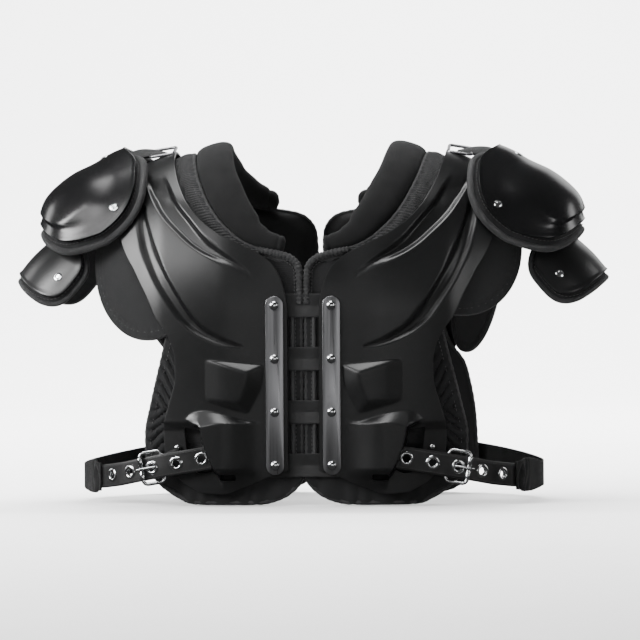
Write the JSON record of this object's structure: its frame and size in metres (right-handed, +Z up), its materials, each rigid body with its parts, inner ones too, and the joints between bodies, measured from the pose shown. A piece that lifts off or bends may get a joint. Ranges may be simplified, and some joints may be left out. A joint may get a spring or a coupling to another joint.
{
  "type": "football shoulder pad",
  "caption": "Moulded shoulder and chest shells over a padded liner, with shoulder cups, epaulets, arm flaps, neck rolls, webbing lacing and side belts.",
  "frame": {"origin": "middle of the box round the whole part, at the surface it stands on", "axes": "+X towards the wearer's left shoulder, -Y towards the front of the chest, +Z up"},
  "size_m": [0.648, 0.2996, 0.3919],
  "materials": {
    "shell_plastic": "satin gloss",
    "cup_plastic": "gloss",
    "pad_fabric": "matte woven nylon",
    "roll_fabric": "matte smooth knit",
    "webbing": "matte woven webbing",
    "leather": "semi matte",
    "satin_steel": "satin",
    "chrome": "polished"
  },
  "bodies": {
    "root": {"left_shell": "shell_plastic", "left_body_pad": "pad_fabric", "left_neck_roll": "roll_fabric", "left_cup": "cup_plastic", "left_cup_pad": "pad_fabric", "left_epaulet": "cup_plastic", "left_epaulet_pad": "pad_fabric", "left_front_arm_flap": "pad_fabric", "left_back_arm_flap": "pad_fabric", "left_front_plate": "satin_steel", "left_belt_strap": "leather", "left_belt_elastic": "webbing", "left_buckle": "chrome", "left_buckle_anchor": "webbing", "left_belt_eyelet_1": "chrome", "left_belt_eyelet_2": "chrome", "left_belt_eyelet_3": "chrome", "left_belt_eyelet_4": "chrome", "left_belt_eyelet_5": "chrome", "left_shoulder_strap": "webbing", "left_shoulder_ring": "chrome", "left_hanger_strap": "webbing", "left_plate_rivet_1": "satin_steel", "left_plate_rivet_2": "satin_steel", "left_plate_rivet_3": "satin_steel", "left_plate_rivet_4": "satin_steel", "right_shell": "shell_plastic", "right_body_pad": "pad_fabric", "right_neck_roll": "roll_fabric", "right_cup": "cup_plastic", "right_cup_pad": "pad_fabric", "right_epaulet": "cup_plastic", "right_epaulet_pad": "pad_fabric", "right_front_arm_flap": "pad_fabric", "right_back_arm_flap": "pad_fabric", "right_front_plate": "satin_steel", "right_belt_strap": "leather", "right_belt_elastic": "webbing", "right_buckle": "chrome", "right_buckle_anchor": "webbing", "right_belt_eyelet_1": "chrome", "right_belt_eyelet_2": "chrome", "right_belt_eyelet_3": "chrome", "right_belt_eyelet_4": "chrome", "right_belt_eyelet_5": "chrome", "right_shoulder_strap": "webbing", "right_shoulder_ring": "chrome", "right_hanger_strap": "webbing", "right_plate_rivet_1": "satin_steel", "right_plate_rivet_2": "satin_steel", "right_plate_rivet_3": "satin_steel", "right_plate_rivet_4": "satin_steel", "front_lace_strap_1": "webbing", "front_lace_strap_2": "webbing", "front_lace_strap_3": "webbing", "front_lace_strap_4": "webbing", "back_strap_1": "webbing", "back_strap_2": "webbing", "back_strap_3": "webbing"}
  },
  "joints": []
}
